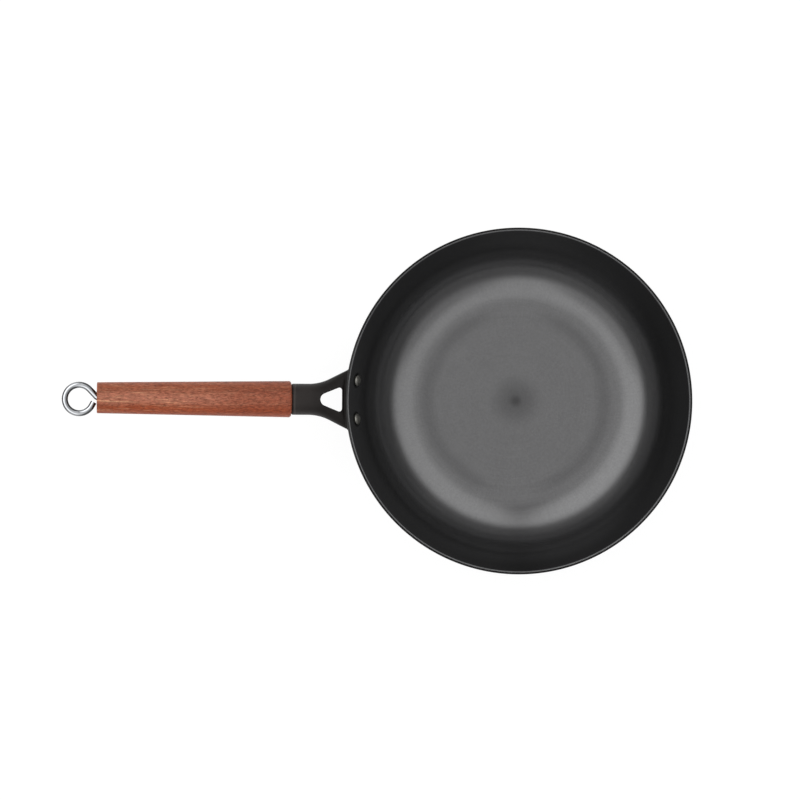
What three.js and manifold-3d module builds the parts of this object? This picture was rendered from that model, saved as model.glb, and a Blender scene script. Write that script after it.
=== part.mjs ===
// Iron frying pan: a sheet pan, a plate riveted to its wall, a fork bracket welded to
// the plate, and a turned wooden handle that a long eye bolt ties into the bracket.
// Millimetres, +Z up. The origin is the centre of the flat underside, and the handle
// points to -X, rising a little.

import * as THREE from 'three';
import { mergeVertices } from 'three/addons/utils/BufferGeometryUtils.js';
import Module from 'manifold-3d';

const wasm = await Module();
wasm.setup();

const { degToRad } = THREE.MathUtils;

// Fits
const FIT_GAP = 0.3; // between pieces that seat on or in each other

// Pan body
const RIM_DIAMETER = 280;
const PAN_HEIGHT = 63;
const PAN_SHEET = 2;
const WALL_LEAN = degToRad(25); // from upright
const CORNER_RADIUS = 54; // inside, between the floor and the wall

// Mount plate
const PLATE_SHEET = 2;
const PLATE_WIDTH = 51;
const PLATE_HEIGHT = 24; // along the wall
const PLATE_CORNER = 5;

// Rivets
const RIVET_DROP = 14.4; // centres below the rim
const RIVET_SPACING = 31.4;
const RIVET_SHANK = 4.5;
const RIVET_HEAD = 9.6;
const RIVET_HEAD_HEIGHT = 2;
const RIVET_TAIL = 8;
const RIVET_TAIL_HEIGHT = 1.6;

// Bracket: lengths run along the handle's axis, from the mount plate outwards
const HANDLE_TILT = degToRad(6); // above level
const BRACKET_SHEET = 2;
const BRACKET_LENGTH = 47.9; // from the plate, at the rivets' height, to the socket's mouth
const SOCKET_DIAMETER = 25.3;
const SOCKET_LENGTH = 13.8; // round stretch
const SOCKET_SEAM = 1.2; // slit left under the rolled socket
const SOCKET_LIP = 0.8; // rounding of the mouth's outer edge
const FORK_WIDTH = 49.6; // over the arms, at the plate
const FORK_ANGLE = degToRad(26.9); // of each arm's edge to the axis
const FORK_FILLET = 38; // plan radius from the socket into the arms
const FORK_CROWN = 8.6; // top of the arch above the axis, at the plate
const FORK_RISE = 7.5; // of the arch above its upright skirts
const FORK_SKIRT = 8; // bottom of the skirts below the axis

// Window in the fork: a triangle with rounded corners, its nose towards the socket
const WINDOW_MARGIN = 7.4; // from the plate, at the rivets' height, to the window's base
const WINDOW_BASE = 21.4;
const WINDOW_ANGLE = degToRad(22); // of each side to the axis
const WINDOW_NOSE = 5.2;
const WINDOW_CORNER = 2.2;

// Wooden handle
const HANDLE_LENGTH = 156.3;
const HANDLE_FRONT = 29.4; // diameter at the socket
const HANDLE_BACK = 25; // diameter at the eye
const SHOULDER_ROUND = 2;
const TAIL_ROUND = 0.8;
const TENON_LENGTH = 11;
const TENON_CHAMFER = 1;
const MOUTH_DIAMETER = 9.4; // countersink that takes the bolt's bend
const MOUTH_DEPTH = 3;

// Eye bolt, nut and nut plate
const BOLT_DIAMETER = 5;
const BOLT_CLEARANCE = 0.35; // round the bolt, in every hole that it passes
const BOLT_OVERRUN = 1.7; // past the nut
const EYE_RADIUS = 11.4; // to the wire's middle
const EYE_REACH = 14.15; // from the handle's end to the eye's centre
const EYE_OFFSET = 1.15; // of the eye's centre to -Y of the axis
const EYE_SWEEP = degToRad(289); // of wire round the eye
const EYE_TAIL = 3.2; // straight end that closes the eye
const BEND_DEPTH = 0.5; // of the bolt's bend inside the handle's end
const BEND_LENGTH = 1.7; // on either side of the bend's corner
const NUT_PLATE_SHEET = 2;
const NUT_WIDTH = 8; // across flats
const NUT_HEIGHT = 4.7;

// Smoothness
const PAN_SEGMENTS = 96;
const CORNER_STEPS = 9;
const RIM_STEPS = 6;
const ROUND_SEGMENTS = 32;
const RIVET_SEGMENTS = 24;
const ARC_STEPS = 5;
const SECTION_STEPS = 32;
const FLARE_STEPS = 9;
const WIRE_SIDES = 12;
const EYE_STEPS = 30;
const BEND_STEPS = 4;

// Worked out from the sizes above

const rimCentre = new THREE.Vector2((RIM_DIAMETER - PAN_SHEET) / 2, PAN_HEIGHT - PAN_SHEET / 2);
const midCorner = CORNER_RADIUS + PAN_SHEET / 2;
const wallFoot = PAN_SHEET / 2 + midCorner * (1 - Math.sin(WALL_LEAN));
const wallRun = (rimCentre.y - wallFoot) * Math.tan(WALL_LEAN);
const floorRadius = rimCentre.x - wallRun - midCorner * Math.cos(WALL_LEAN);

// Radius of a cone that stands off the wall's middle by a distance, at a height.
function wallRadius(height, standOff) {
  return rimCentre.x - (rimCentre.y - height) * Math.tan(WALL_LEAN) + standOff / Math.cos(WALL_LEAN);
}

const plateInside = PAN_SHEET / 2 + FIT_GAP;
const plateOutside = plateInside + PLATE_SHEET;
const rivetHeight = PAN_HEIGHT - RIVET_DROP;
const socketRadius = SOCKET_DIAMETER / 2;
const boreRadius = BOLT_DIAMETER / 2 + BOLT_CLEARANCE;
const handleStart = BRACKET_LENGTH + FIT_GAP;
const handleEnd = handleStart + HANDLE_LENGTH;
const tenonEnd = BRACKET_LENGTH - TENON_LENGTH;
const nutPlateEnd = tenonEnd - FIT_GAP - NUT_PLATE_SHEET;
const nutEnd = nutPlateEnd - FIT_GAP - NUT_HEIGHT;
const boltEnd = nutEnd - BOLT_OVERRUN;

// Geometry helpers

// A closed geometry with shared vertices, and no triangle that has shrunk to a line.
function weld(geometry) {
  const mergeDistance = 1e-4;
  geometry.deleteAttribute('normal');
  geometry.deleteAttribute('uv');
  const welded = mergeVertices(geometry, mergeDistance);
  const corners = Array.from(welded.index.array);
  const kept = [];
  for (let i = 0; i < corners.length; i += 3) {
    const [a, b, c] = corners.slice(i, i + 3);
    if (a !== b && b !== c && c !== a) kept.push(a, b, c);
  }
  welded.setIndex(kept);
  return welded;
}

function toSolid(geometry) {
  const welded = weld(geometry);
  return new wasm.Manifold(new wasm.Mesh({
    numProp: 3,
    vertProperties: Float32Array.from(welded.attributes.position.array),
    triVerts: Uint32Array.from(welded.index.array),
  }));
}

function toGeometry(solid) {
  const mesh = solid.getMesh();
  const geometry = new THREE.BufferGeometry();
  geometry.setAttribute('position', new THREE.BufferAttribute(mesh.vertProperties, 3));
  geometry.setIndex(new THREE.BufferAttribute(mesh.triVerts, 1));
  return geometry;
}

function cut(geometry, tools) {
  const solid = tools.reduce((left, tool) => left.subtract(toSolid(tool)), toSolid(geometry));
  return toGeometry(solid);
}

// A profile of radius and height, turned round the Z axis.
function turned(profile, segments) {
  return new THREE.LatheGeometry(profile, segments).rotateX(Math.PI / 2);
}

// A profile of radius and distance along the handle, turned round the handle's axis.
function turnedAlongHandle(profile, segments) {
  return new THREE.LatheGeometry(profile, segments).rotateZ(Math.PI / 2);
}

// Points of an arc in a profile, both ends included.
function arc(x, y, radius, from, to, steps) {
  return Array.from({ length: steps + 1 }, (_, i) => {
    const angle = from + (to - from) * i / steps;
    return new THREE.Vector2(x + radius * Math.cos(angle), y + radius * Math.sin(angle));
  });
}

// A polygon whose corners are rounded, each by its own radius.
function roundedShape(corners, radii) {
  const shape = new THREE.Shape();
  corners.forEach((corner, i) => {
    const before = corners[(i + corners.length - 1) % corners.length].clone().sub(corner).normalize();
    const after = corners[(i + 1) % corners.length].clone().sub(corner).normalize();
    const half = Math.acos(before.dot(after)) / 2;
    const reach = radii[i] / Math.tan(half);
    const inward = before.clone().add(after).normalize();
    const middle = corner.clone().addScaledVector(inward, radii[i] / Math.sin(half));
    const first = before.multiplyScalar(reach).add(corner).sub(middle);
    const last = after.multiplyScalar(reach).add(corner).sub(middle);
    shape.absarc(middle.x, middle.y, radii[i], first.angle(), last.angle(), first.cross(last) < 0);
  });
  shape.closePath();
  return shape;
}

// Places things on the pan's wall at a distance to +Y of the handle: the origin is on the
// inside face at the rivets' height, and +Z points out through the wall.
function onWall(sideways) {
  const radius = wallRadius(rivetHeight, -PAN_SHEET / 2);
  const azimuth = Math.PI - Math.asin(sideways / radius);
  const outward = new THREE.Vector3(
    Math.cos(WALL_LEAN) * Math.cos(azimuth),
    Math.cos(WALL_LEAN) * Math.sin(azimuth),
    -Math.sin(WALL_LEAN),
  );
  const turn = new THREE.Quaternion().setFromUnitVectors(new THREE.Vector3(0, 0, 1), outward);
  const place = new THREE.Vector3(radius * Math.cos(azimuth), radius * Math.sin(azimuth), rivetHeight);
  return new THREE.Matrix4().compose(place, turn, new THREE.Vector3(1, 1, 1));
}

// Materials, by finish
const finishes = {
  pan: { color: 0x3c3c3d, roughness: 0.4, metalness: 0.9 },
  paint: { color: 0x1f1c1b, roughness: 0.45, metalness: 0.3 },
  rivet: { color: 0x8f8c84, roughness: 0.35, metalness: 1 },
  zinc: { color: 0xb4b4b2, roughness: 0.25, metalness: 1 },
  plating: { color: 0xd2d4d6, roughness: 0.12, metalness: 1 },
  wood: { color: 0x95573f, roughness: 0.6, metalness: 0 },
};

function piece(name, geometry, finish) {
  const welded = weld(geometry);
  welded.computeVertexNormals();
  const mesh = new THREE.Mesh(welded, new THREE.MeshStandardMaterial(finishes[finish]));
  mesh.name = name;
  return mesh;
}

// Places of the rivets across the handle, left and right seen from the handle's end
const rivetSides = { left: RIVET_SPACING / 2, right: -RIVET_SPACING / 2 };

// Holes for both rivets through everything on the wall
function rivetHoles() {
  const radius = RIVET_SHANK / 2 + FIT_GAP;
  const length = 4 * (PAN_SHEET + PLATE_SHEET);
  return Object.values(rivetSides).map((sideways) => {
    const hole = new THREE.CylinderGeometry(radius, radius, length, RIVET_SEGMENTS).rotateX(Math.PI / 2);
    return hole.applyMatrix4(onWall(sideways));
  });
}

// Pan: outside from the middle of the underside to the rim, then back down the inside
function panBody() {
  const corner = new THREE.Vector2(floorRadius, PAN_SHEET + CORNER_RADIUS);
  const outerCorner = CORNER_RADIUS + PAN_SHEET;
  const outside = arc(corner.x, corner.y, outerCorner, -Math.PI / 2, -WALL_LEAN, CORNER_STEPS);
  const rim = arc(rimCentre.x, rimCentre.y, PAN_SHEET / 2, -WALL_LEAN, Math.PI - WALL_LEAN, RIM_STEPS);
  const inside = arc(corner.x, corner.y, CORNER_RADIUS, -WALL_LEAN, -Math.PI / 2, CORNER_STEPS);
  const profile = [
    new THREE.Vector2(0, 0),
    ...outside,
    ...rim,
    ...inside,
    new THREE.Vector2(0, PAN_SHEET),
  ];
  return cut(turned(profile, PAN_SEGMENTS), rivetHoles());
}

// Mount plate: a band of a cone outside the wall, trimmed to a rectangle with round corners
function mountPlate() {
  const upright = PLATE_HEIGHT * Math.cos(WALL_LEAN);
  const low = rivetHeight - upright;
  const high = rivetHeight + upright;
  const band = [
    new THREE.Vector2(wallRadius(low, plateInside), low),
    new THREE.Vector2(wallRadius(low, plateOutside), low),
    new THREE.Vector2(wallRadius(high, plateOutside), high),
    new THREE.Vector2(wallRadius(high, plateInside), high),
    new THREE.Vector2(wallRadius(low, plateInside), low),
  ];
  const corners = [[1, -1], [1, 1], [-1, 1], [-1, -1]].map(([across, up]) => (
    new THREE.Vector2(across * PLATE_WIDTH / 2, up * upright / 2)
  ));
  const outline = roundedShape(corners, corners.map(() => PLATE_CORNER));
  const block = new THREE.ExtrudeGeometry(outline, {
    depth: RIM_DIAMETER,
    bevelEnabled: false,
    curveSegments: ARC_STEPS,
  });
  block.rotateZ(Math.PI / 2).rotateY(-Math.PI / 2).translate(0, 0, rivetHeight);
  const trimmed = toSolid(turned(band, PAN_SEGMENTS)).intersect(toSolid(block));
  return cut(toGeometry(trimmed), rivetHoles());
}

// Rivet: domed head inside the pan, shank through wall and plate, flat tail outside
function rivet(sideways) {
  const stack = PAN_SHEET + FIT_GAP + PLATE_SHEET;
  const headRadius = RIVET_HEAD / 2;
  const shankRadius = RIVET_SHANK / 2;
  const tailRadius = RIVET_TAIL / 2;
  const domeRadius = (headRadius ** 2 + RIVET_HEAD_HEIGHT ** 2) / (2 * RIVET_HEAD_HEIGHT);
  const domeAngle = Math.asin(headRadius / domeRadius);
  const domeMiddle = domeRadius - RIVET_HEAD_HEIGHT - FIT_GAP;
  const dome = arc(0, domeMiddle, domeRadius, -Math.PI / 2, domeAngle - Math.PI / 2, ARC_STEPS);
  const tailEnd = stack + FIT_GAP + RIVET_TAIL_HEIGHT;
  const profile = [
    new THREE.Vector2(0, -FIT_GAP - RIVET_HEAD_HEIGHT),
    ...dome.slice(1),
    new THREE.Vector2(shankRadius, -FIT_GAP),
    new THREE.Vector2(shankRadius, stack + FIT_GAP),
    new THREE.Vector2(tailRadius, stack + FIT_GAP),
    new THREE.Vector2(tailRadius, tailEnd - RIVET_TAIL_HEIGHT / 2),
    new THREE.Vector2(shankRadius, tailEnd),
    new THREE.Vector2(0, tailEnd),
  ];
  return turned(profile, RIVET_SEGMENTS).applyMatrix4(onWall(sideways));
}

// Handle's own frame: its origin is on the plate's outside at the rivets' height, and the
// handle runs along its -X
const handle = new THREE.Group();
handle.position.set(-wallRadius(rivetHeight, plateOutside), 0, rivetHeight);
handle.rotation.y = HANDLE_TILT;
handle.updateMatrix();

// Half the bracket's width in plan: round socket, fillet, straight spread, full width.
function forkHalfWidth(along) {
  const run = BRACKET_LENGTH - SOCKET_LENGTH - along;
  const filletRun = FORK_FILLET * Math.sin(FORK_ANGLE);
  if (run <= 0) return socketRadius;
  if (run <= filletRun) return socketRadius + FORK_FILLET - Math.sqrt(FORK_FILLET ** 2 - run ** 2);
  const spread = FORK_FILLET * (1 - Math.cos(FORK_ANGLE)) + (run - filletRun) * Math.tan(FORK_ANGLE);
  return Math.min(socketRadius + spread, FORK_WIDTH / 2);
}

// Outline of the sheet's outside at one place along the bracket, as points of width and
// height. It passes from the slit circle of the socket to an arch on upright skirts.
function bracketSection(along) {
  const halfWidth = forkHalfWidth(along);
  const open = (halfWidth - socketRadius) / (FORK_WIDTH / 2 - socketRadius);
  const closedAngle = Math.PI - Math.asin(SOCKET_SEAM / 2 / socketRadius);
  const archShare = 0.85; // of the sheet's half width that lies in the arch
  const points = Array.from({ length: SECTION_STEPS + 1 }, (_, i) => {
    const across = 2 * i / SECTION_STEPS - 1;
    const turn = across * closedAngle;
    const share = Math.min(Math.abs(across) / archShare, 1) * Math.PI / 2;
    const below = Math.max(Math.abs(across) - archShare, 0) / (1 - archShare);
    const archTop = FORK_CROWN - FORK_RISE + FORK_RISE * Math.cos(share);
    const arch = new THREE.Vector2(
      Math.sign(across) * FORK_WIDTH / 2 * Math.sin(share),
      archTop + below * (FORK_RISE - FORK_CROWN - FORK_SKIRT),
    );
    const round = new THREE.Vector2(socketRadius * Math.sin(turn), socketRadius * Math.cos(turn));
    return round.lerp(arch, open);
  });
  const widest = Math.max(...points.map((point) => point.x));
  points.forEach((point) => point.setX(point.x * halfWidth / widest));
  return points;
}

// The same outline moved towards the hollow side by a distance.
function inset(points, distance) {
  return points.map((point, i) => {
    const before = points[Math.max(i - 1, 0)];
    const after = points[Math.min(i + 1, points.length - 1)];
    const along = after.clone().sub(before).normalize();
    return new THREE.Vector2(point.x + along.y * distance, point.y - along.x * distance);
  });
}

// Places along the bracket where its section is drawn, from inside the wall to the mouth.
function bracketStations() {
  const flareStart = BRACKET_LENGTH - SOCKET_LENGTH;
  const buried = -(PLATE_SHEET + PAN_SHEET + FORK_SKIRT * Math.tan(WALL_LEAN));
  const stations = Array.from({ length: FLARE_STEPS + 1 }, (_, i) => flareStart * i / FLARE_STEPS);
  return [buried, ...stations, BRACKET_LENGTH - SOCKET_LIP, BRACKET_LENGTH];
}

// A sheet between two grids of points with the same rows and columns, closed at its edges.
function sheet(outside, inside) {
  const rows = outside.length;
  const columns = outside[0].length;
  const corners = [];
  const vertex = (side, row, column) => (side * rows + row) * columns + column;
  const quad = (a, b, c, d) => corners.push(a, c, b, a, d, c);
  for (let row = 0; row + 1 < rows; row += 1) {
    for (let column = 0; column + 1 < columns; column += 1) {
      const grid = [[row, column], [row + 1, column], [row + 1, column + 1], [row, column + 1]];
      quad(...grid.map((place) => vertex(0, ...place)));
      quad(...grid.reverse().map((place) => vertex(1, ...place)));
    }
    for (const [column, first, second] of [[0, 1, 0], [columns - 1, 0, 1]]) {
      quad(
        vertex(first, row, column),
        vertex(first, row + 1, column),
        vertex(second, row + 1, column),
        vertex(second, row, column),
      );
    }
  }
  for (let column = 0; column + 1 < columns; column += 1) {
    for (const [row, first, second] of [[0, 0, 1], [rows - 1, 1, 0]]) {
      quad(
        vertex(first, row, column),
        vertex(first, row, column + 1),
        vertex(second, row, column + 1),
        vertex(second, row, column),
      );
    }
  }
  const points = [...outside.flat(), ...inside.flat()];
  const geometry = new THREE.BufferGeometry().setFromPoints(points);
  geometry.setIndex(corners);
  return geometry;
}

// Everything within the mount plate's outside face, in the handle's frame
function plateSide() {
  const low = 0;
  const high = 2 * PAN_HEIGHT;
  const standOff = plateOutside + FIT_GAP;
  const cone = [
    new THREE.Vector2(0, low),
    new THREE.Vector2(wallRadius(low, standOff), low),
    new THREE.Vector2(wallRadius(high, standOff), high),
    new THREE.Vector2(0, high),
  ];
  return turned(cone, PAN_SEGMENTS).applyMatrix4(handle.matrix.clone().invert());
}

// Cutter for the window, upright through the fork's crown
function windowCutter() {
  const tip = WINDOW_MARGIN + WINDOW_BASE / 2 / Math.tan(WINDOW_ANGLE);
  const outline = roundedShape(
    [
      new THREE.Vector2(-WINDOW_MARGIN, WINDOW_BASE / 2),
      new THREE.Vector2(-tip, 0),
      new THREE.Vector2(-WINDOW_MARGIN, -WINDOW_BASE / 2),
    ],
    [WINDOW_CORNER, WINDOW_NOSE, WINDOW_CORNER],
  );
  return new THREE.ExtrudeGeometry(outline, {
    depth: SOCKET_DIAMETER,
    bevelEnabled: false,
    curveSegments: ARC_STEPS,
  });
}

// Bracket: rolled socket and fork in one sheet
function handleBracket() {
  const rows = bracketStations().map((along) => {
    const lip = along === BRACKET_LENGTH ? SOCKET_LIP : 0;
    const section = bracketSection(along);
    const place = (point) => new THREE.Vector3(-along, point.x, point.y);
    return {
      outside: inset(section, lip).map(place),
      inside: inset(section, BRACKET_SHEET).map(place),
    };
  });
  const whole = sheet(rows.map((row) => row.outside), rows.map((row) => row.inside));
  return cut(whole, [plateSide(), windowCutter()]);
}

// Disc across the socket that the tie nut is welded to
function nutPlate() {
  const radius = socketRadius - BRACKET_SHEET - FIT_GAP;
  const far = nutPlateEnd + NUT_PLATE_SHEET;
  const profile = [
    new THREE.Vector2(boreRadius, nutPlateEnd),
    new THREE.Vector2(radius, nutPlateEnd),
    new THREE.Vector2(radius, far),
    new THREE.Vector2(boreRadius, far),
    new THREE.Vector2(boreRadius, nutPlateEnd),
  ];
  return turnedAlongHandle(profile, ROUND_SEGMENTS);
}

// Hexagon nut, with a plain bore in place of its thread
function tieNut() {
  const sides = 6;
  const cornerRadius = NUT_WIDTH / 2 / Math.cos(Math.PI / sides);
  const corners = Array.from({ length: sides }, (_, i) => {
    const angle = 2 * Math.PI * i / sides;
    return new THREE.Vector2(cornerRadius * Math.cos(angle), cornerRadius * Math.sin(angle));
  });
  const hexagon = new THREE.Shape(corners);
  hexagon.holes.push(new THREE.Path().absarc(0, 0, boreRadius, 0, 2 * Math.PI, true));
  const geometry = new THREE.ExtrudeGeometry(hexagon, {
    depth: NUT_HEIGHT,
    bevelEnabled: false,
    curveSegments: RIVET_SEGMENTS / 2,
  });
  return geometry.rotateY(-Math.PI / 2).translate(-nutEnd, 0, 0);
}

// Handle: tenon in the socket, rounded shoulder, straight taper, bored from end to end
function woodenHandle() {
  const tenonRadius = socketRadius - BRACKET_SHEET - FIT_GAP;
  const frontRadius = HANDLE_FRONT / 2;
  const backRadius = HANDLE_BACK / 2;
  const shoulder = arc(
    frontRadius - SHOULDER_ROUND,
    handleStart + SHOULDER_ROUND,
    SHOULDER_ROUND,
    -Math.PI / 2,
    0,
    ARC_STEPS,
  );
  const tail = arc(
    backRadius - TAIL_ROUND,
    handleEnd - TAIL_ROUND,
    TAIL_ROUND,
    0,
    Math.PI / 2,
    ARC_STEPS,
  );
  const profile = [
    new THREE.Vector2(boreRadius, tenonEnd),
    new THREE.Vector2(tenonRadius - TENON_CHAMFER, tenonEnd),
    new THREE.Vector2(tenonRadius, tenonEnd + TENON_CHAMFER),
    new THREE.Vector2(tenonRadius, handleStart),
    ...shoulder,
    ...tail,
    new THREE.Vector2(MOUTH_DIAMETER / 2, handleEnd),
    new THREE.Vector2(boreRadius, handleEnd - MOUTH_DEPTH),
    new THREE.Vector2(boreRadius, tenonEnd),
  ];
  return turnedAlongHandle(profile, ROUND_SEGMENTS);
}

// Follows its curves one after another, each in its own number of steps, so that a long
// straight rod takes few steps and a tight eye takes many.
class SteppedPath extends THREE.Curve {
  constructor(stretches) {
    super();
    this.stretches = stretches;
    this.steps = stretches.reduce((sum, stretch) => sum + stretch.steps, 0);
  }

  getPoint(t) {
    let step = t * this.steps;
    let i = 0;
    while (i + 1 < this.stretches.length && step > this.stretches[i].steps) {
      step -= this.stretches[i].steps;
      i += 1;
    }
    return this.stretches[i].curve.getPoint(step / this.stretches[i].steps);
  }

  getPointAt(u) {
    return this.getPoint(u);
  }

  getTangentAt(u, target) {
    return this.getTangent(u, target);
  }
}

// An arc that lies level in the handle's frame
class LevelArc extends THREE.Curve {
  constructor(centre, radius, from, to) {
    super();
    Object.assign(this, { centre, radius, from, to });
  }

  getPoint(t) {
    const angle = this.from + (this.to - this.from) * t;
    const offset = new THREE.Vector3(Math.cos(angle), Math.sin(angle), 0);
    return offset.multiplyScalar(this.radius).add(this.centre);
  }
}

// Eye bolt: straight rod through nut and handle, a bend in the handle's mouth, then the eye
function eyeBolt() {
  const start = new THREE.Vector3(-boltEnd, 0, 0);
  const bend = new THREE.Vector3(BEND_DEPTH - handleEnd, 0, 0);
  const centre = new THREE.Vector3(-handleEnd - EYE_REACH, -EYE_OFFSET, 0);
  const toBend = bend.clone().sub(centre);
  const eyeStart = Math.atan2(toBend.y, toBend.x) + Math.acos(EYE_RADIUS / toBend.length());
  const eye = new LevelArc(centre, EYE_RADIUS, eyeStart, eyeStart + EYE_SWEEP);
  const strandEnd = eye.getPoint(0);
  const strand = strandEnd.clone().sub(bend).normalize();
  const bendStart = bend.clone().add(new THREE.Vector3(BEND_LENGTH, 0, 0));
  const bendEnd = bend.clone().addScaledVector(strand, BEND_LENGTH);
  const eyeEnd = eye.getPoint(1);
  const tailEnd = eyeEnd.clone().addScaledVector(eye.getTangent(1), EYE_TAIL);
  const path = new SteppedPath([
    { curve: new THREE.LineCurve3(start, bendStart), steps: 1 },
    { curve: new THREE.QuadraticBezierCurve3(bendStart, bend, bendEnd), steps: BEND_STEPS },
    { curve: new THREE.LineCurve3(bendEnd, strandEnd), steps: 1 },
    { curve: eye, steps: EYE_STEPS },
    { curve: new THREE.LineCurve3(eyeEnd, tailEnd), steps: 1 },
  ]);
  const wire = new THREE.Shape(arc(0, 0, BOLT_DIAMETER / 2, 0, 2 * Math.PI, WIRE_SIDES).slice(1));
  return new THREE.ExtrudeGeometry(wire, { steps: path.steps, extrudePath: path });
}

handle.add(
  piece('handle_bracket', handleBracket(), 'paint'),
  piece('nut_plate', nutPlate(), 'zinc'),
  piece('tie_nut', tieNut(), 'zinc'),
  piece('wooden_handle', woodenHandle(), 'wood'),
  piece('eye_bolt', eyeBolt(), 'plating'),
);

const rivets = Object.entries(rivetSides).map(([side, sideways]) => (
  piece(`rivet_${side}`, rivet(sideways), 'rivet')
));

const fryingPan = new THREE.Group();
fryingPan.add(
  piece('pan_body', panBody(), 'pan'),
  piece('mount_plate', mountPlate(), 'paint'),
  ...rivets,
  handle,
);

export default fryingPan;
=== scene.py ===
"""Iron frying pan: the visual model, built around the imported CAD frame.

Sizes are in millimetres, as in the CAD source, and become metres where a mesh is made.
The handle points to -X and +Z is up.
"""

import math

import bmesh
import bpy
from mathutils import Matrix, Vector


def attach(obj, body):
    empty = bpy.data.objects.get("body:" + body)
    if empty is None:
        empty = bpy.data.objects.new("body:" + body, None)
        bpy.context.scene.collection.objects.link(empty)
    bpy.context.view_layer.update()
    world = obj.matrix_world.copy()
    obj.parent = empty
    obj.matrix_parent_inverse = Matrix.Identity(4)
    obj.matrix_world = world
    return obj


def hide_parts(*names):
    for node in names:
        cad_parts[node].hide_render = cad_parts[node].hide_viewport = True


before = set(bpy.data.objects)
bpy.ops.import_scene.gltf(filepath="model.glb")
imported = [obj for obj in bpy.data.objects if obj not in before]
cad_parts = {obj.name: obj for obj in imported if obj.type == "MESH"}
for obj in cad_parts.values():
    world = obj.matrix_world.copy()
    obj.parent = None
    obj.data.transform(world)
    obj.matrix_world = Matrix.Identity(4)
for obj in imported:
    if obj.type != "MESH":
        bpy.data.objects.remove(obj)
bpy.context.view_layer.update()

MM = 0.001

# Sizes shared with the CAD source

FIT_GAP = 0.3

RIM_DIAMETER = 280.0
PAN_HEIGHT = 63.0
PAN_SHEET = 2.0
WALL_LEAN = math.radians(25)
CORNER_RADIUS = 54.0

PLATE_SHEET = 2.0
PLATE_WIDTH = 51.0
PLATE_HEIGHT = 24.0
PLATE_CORNER = 5.0

RIVET_DROP = 14.4
RIVET_SPACING = 31.4
RIVET_SHANK = 4.5
RIVET_HEAD = 9.6
RIVET_HEAD_HEIGHT = 2.0
RIVET_TAIL = 8.0
RIVET_TAIL_HEIGHT = 1.6

HANDLE_TILT = math.radians(6)
BRACKET_SHEET = 2.0
BRACKET_LENGTH = 47.9
SOCKET_DIAMETER = 25.3
SOCKET_LENGTH = 13.8
SOCKET_SEAM = 1.2
FORK_WIDTH = 49.6
FORK_ANGLE = math.radians(26.9)
FORK_FILLET = 38.0
FORK_CROWN = 8.6
FORK_RISE = 7.5
FORK_SKIRT = 8.0
ARCH_SHARE = 0.85

WINDOW_MARGIN = 7.4
WINDOW_BASE = 21.4
WINDOW_ANGLE = math.radians(22)
WINDOW_NOSE = 5.2
WINDOW_CORNER = 2.2

HANDLE_LENGTH = 156.3
HANDLE_FRONT = 29.4
HANDLE_BACK = 25.0
SHOULDER_ROUND = 2.0
TAIL_ROUND = 0.8
TENON_LENGTH = 11.0
TENON_CHAMFER = 1.0
MOUTH_DIAMETER = 9.4
MOUTH_DEPTH = 3.0

BOLT_DIAMETER = 5.0
BOLT_CLEARANCE = 0.35
BOLT_OVERRUN = 1.7
EYE_RADIUS = 11.4
EYE_REACH = 14.15
EYE_OFFSET = 1.15
EYE_SWEEP = math.radians(289)
EYE_TAIL = 3.2
BEND_DEPTH = 0.5
BEND_LENGTH = 1.7
NUT_PLATE_SHEET = 2.0
NUT_WIDTH = 8.0
NUT_HEIGHT = 4.7

# Details that only the visual model has

EDGE_ROUND = 0.45  # of cut sheet edges
LIP_ROUND = 1.3  # of the socket's mouth
SEAM_RUN = 3.4  # length of the fork's dressed edge at the plate
SEAM_DROP = 1.9  # its depth
RIVET_EDGE = 0.35  # upright edge under a rivet's dome
DOME_POWER = 2.7  # 2 is an even dome, and more is flatter with rounder shoulders
RIVET_SHADE_RISE = 1.2  # of the painted shade round a rivet, up the wall
THREAD_PITCH = 0.8
THREAD_DEPTH = 0.38
THREAD_LENGTH = 16.0
THREAD_STEPS = 10  # in each turn
BEAD_RADIUS = 1.1  # of the weld inside the fork
BEAD_RIPPLE = 0.18  # as a share of its radius
BEAD_RIPPLES = 26
BEAD_TAPER = 0.125  # at each end, as a share of its length
NUT_CHAMFER = 0.4  # of its bore
NUT_FACE_SHARE = 0.97  # of its width, left flat by the cone that turns its corners off
NUT_PLATE_CHAMFER = 0.3
BOLT_CHAMFER = 0.5
CREASE = 40  # degrees; edges sharper than this look sharp

# Places worked out from the sizes

rim_radius = (RIM_DIAMETER - PAN_SHEET) / 2
rim_height = PAN_HEIGHT - PAN_SHEET / 2
mid_corner = CORNER_RADIUS + PAN_SHEET / 2
wall_foot = PAN_SHEET / 2 + mid_corner * (1 - math.sin(WALL_LEAN))
wall_run = (rim_height - wall_foot) * math.tan(WALL_LEAN)
floor_radius = rim_radius - wall_run - mid_corner * math.cos(WALL_LEAN)
plate_inside = PAN_SHEET / 2 + FIT_GAP
plate_outside = plate_inside + PLATE_SHEET
rivet_height = PAN_HEIGHT - RIVET_DROP
socket_radius = SOCKET_DIAMETER / 2
bore_radius = BOLT_DIAMETER / 2 + BOLT_CLEARANCE
flare_start = BRACKET_LENGTH - SOCKET_LENGTH
window_tip = WINDOW_MARGIN + WINDOW_BASE / 2 / math.tan(WINDOW_ANGLE)
tenon_radius = socket_radius - BRACKET_SHEET - FIT_GAP
handle_start = BRACKET_LENGTH + FIT_GAP
handle_end = handle_start + HANDLE_LENGTH
tenon_end = BRACKET_LENGTH - TENON_LENGTH
nut_plate_end = tenon_end - FIT_GAP - NUT_PLATE_SHEET
nut_end = nut_plate_end - FIT_GAP - NUT_HEIGHT
bolt_end = nut_end - BOLT_OVERRUN


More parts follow.
